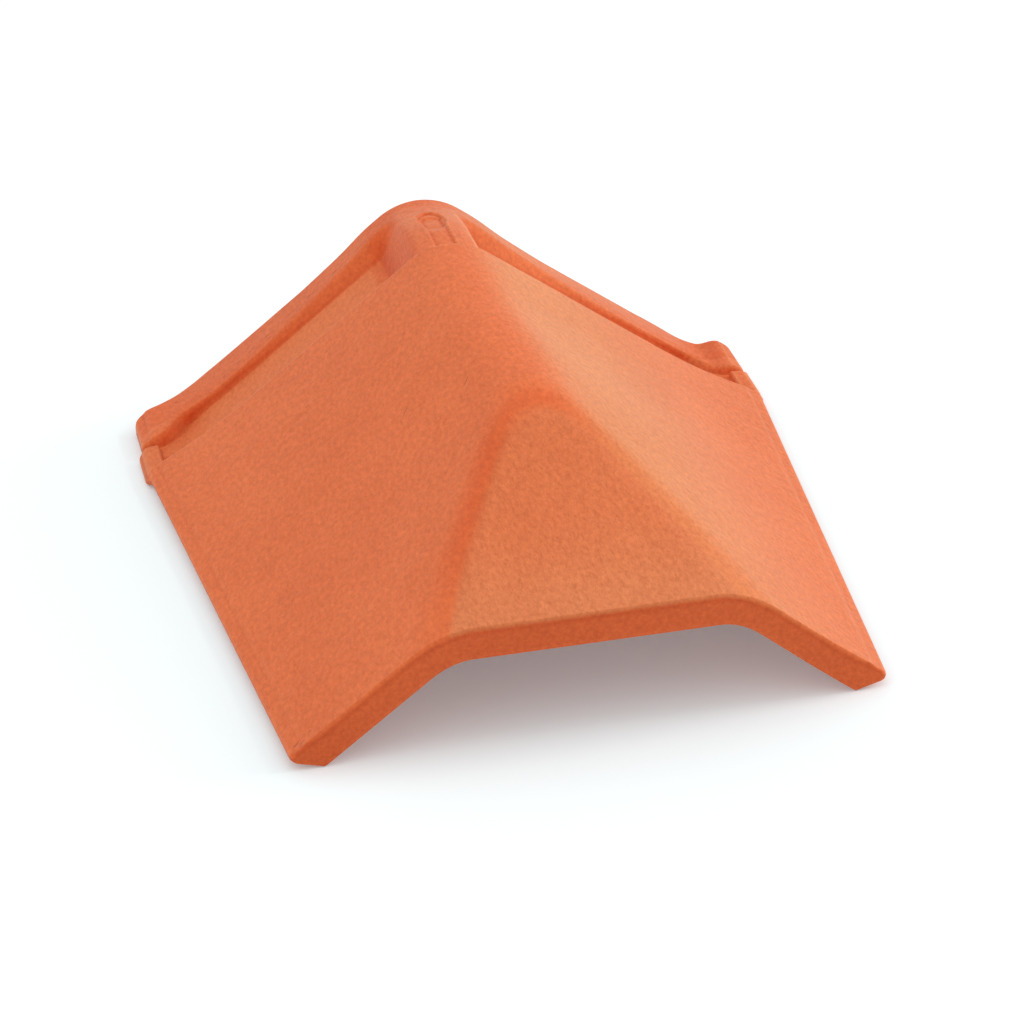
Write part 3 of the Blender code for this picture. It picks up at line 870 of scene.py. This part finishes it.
def new_material(name, finish):
    """Material with the given constants on its Principled BSDF, and its node tree."""
    mat = bpy.data.materials.new(name)
    mat.use_nodes = True
    tree = NodeTree(mat)
    shader = tree.nodes["Principled BSDF"]
    for socket, value in finish.items():
        tree.feed(shader.inputs[socket], value)
    return mat, tree, shader


def all_marks(tree, vector):
    """Mask of every mark of handling, each at its own strength."""
    masks = [tree.maths("MULTIPLY", tree.mark(vector, *place), strength) for *place, strength in MARKS]
    marked = masks[0]
    for mask in masks[1:]:
        marked = tree.maths("MAXIMUM", marked, mask)
    return marked


def clay_material():
    """Unglazed fired clay: warm orange body, sandy grain, dark specks and marks, painted sheen and paler
    patches, painted highlights on worn arrises and painted shade in creases, on cut faces and on the
    saddle's flank.
    """
    mat, tree, shader = new_material("fired_clay", CLAY_FINISH)
    coords = tree.make("ShaderNodeTexCoord", {}, {}).outputs["Object"]
    stretch = tree.make("ShaderNodeMapping", {}, {"Vector": coords, "Scale": GRAIN_STRETCH})
    grain = stretch.outputs["Vector"]
    field, band, cut_face_and_shade = tree.painted("clay_tone")
    worn_and_highlit, crease_shade, sheen_and_pale_share = tree.painted("clay_edges")
    marked = all_marks(tree, coords)

    colour = tree.ramp(tree.noise(grain, *BODY_NOISE), BODY_STOPS)
    for texture, stops in MOTTLES:
        colour = tree.times(colour, tree.ramp(tree.noise(grain, *texture), stops))
    # The sheen, the shade in creases, on cut faces and on the saddle's flank, and the highlight on
    # arrises are painted light and shade
    tones = [(FIELD_TONE, field), (BAND_TONE, band), (CUT_FACE_AND_SHADE_TONE, cut_face_and_shade), (PAINTED_SHEEN_AND_PALE_TONE, sheen_and_pale_share),
             (MARK_TONE, marked), (CREASE_SHADE_TONE, crease_shade), (WORN_AND_HIGHLIGHT_TONE, worn_and_highlit)]
    for tint, mask in tones:
        colour = tree.times(colour, tint, mask)
    tree.feed(shader.inputs["Base Color"], colour)

    hollow = tree.maths("SUBTRACT", tree.noise(grain, *PIT_NOISE), marked)
    normal = tree.bump(hollow, PIT_DEPTH, PIT_STRENGTH)
    normal = tree.bump(tree.noise(grain, *SAND_NOISE), SAND_DEPTH, SAND_STRENGTH, normal)
    normal = tree.bump(tree.noise(grain, *FIELD_NOISE), FIELD_DEPTH, field, normal)
    tree.feed(shader.inputs["Normal"], normal)
    return mat


def add_floor():
    """White board with a faint painted glow, tinted cyan, that lifts the shadows on it and lights the
    tile from below.
    """
    reach = FLOOR_REACH
    corners = [(-reach, -reach, 0), (reach, -reach, 0), (reach, reach, 0), (-reach, reach, 0)]
    mesh = bpy.data.meshes.new("floor")
    mesh.from_pydata(corners, [], [(0, 1, 2, 3)])
    floor = bpy.data.objects.new("floor", mesh)
    bpy.context.scene.collection.objects.link(floor)
    floor.location.z = -FLOOR_DROP
    mesh.materials.append(new_material("pale_floor_painted_glow", FLOOR_FINISH_AND_GLOW)[0])


def add_sun(name, place):
    """Sun with a broad disc, for soft shadows and an evenly lit floor."""
    data = bpy.data.lights.new(name, "SUN")
    data.angle = SUN_ANGLE
    data.energy = SUN_POWER
    light = bpy.data.objects.new(name, data)
    bpy.context.scene.collection.objects.link(light)
    light.location = place
    light.rotation_euler = (-Vector(place)).to_track_quat("-Z", "Y").to_euler()


def add_world():
    world = bpy.data.worlds.new("studio")
    world.use_nodes = True
    background = world.node_tree.nodes["Background"]
    background.inputs["Color"].default_value = (*WHITE, 1.0)
    background.inputs["Strength"].default_value = WORLD_LIGHT
    bpy.context.scene.world = world


def add_camera():
    data = bpy.data.cameras.new("camera")
    data.lens = CAMERA_LENS
    data.sensor_width = CAMERA_SENSOR
    camera = bpy.data.objects.new("camera", data)
    bpy.context.scene.collection.objects.link(camera)
    a, e = CAMERA_AZIMUTH, CAMERA_ELEVATION
    back = Vector((math.sin(a) * math.cos(e), -math.cos(a) * math.cos(e), math.sin(e)))
    right = Vector((math.cos(a), math.sin(a), 0.0))
    up = back.cross(right)
    turned = Matrix.Rotation(-CAMERA_ROLL, 3, "Z")
    basis = Matrix((right, up, back)).transposed() @ turned
    camera.matrix_world = Matrix.Translation(CAMERA_PLACE) @ basis.to_4x4()
    bpy.context.scene.camera = camera


def build_scene():
    scene = bpy.context.scene
    scene.view_settings.view_transform = "Standard"
    tile = bpy.data.objects.new("clay_tile", tile_mesh())
    scene.collection.objects.link(tile)
    tile.data.materials.append(clay_material())
    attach(tile, "root")
    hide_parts("hip_starter_tile")
    add_floor()
    add_sun("key", SUN_PLACE)
    add_world()
    add_camera()


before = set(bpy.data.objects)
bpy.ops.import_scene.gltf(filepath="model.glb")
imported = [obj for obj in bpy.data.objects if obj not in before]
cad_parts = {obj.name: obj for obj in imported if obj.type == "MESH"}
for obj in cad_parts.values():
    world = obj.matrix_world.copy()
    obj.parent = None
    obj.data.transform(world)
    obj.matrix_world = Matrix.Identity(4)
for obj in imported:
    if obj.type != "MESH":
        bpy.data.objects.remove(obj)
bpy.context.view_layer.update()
build_scene()
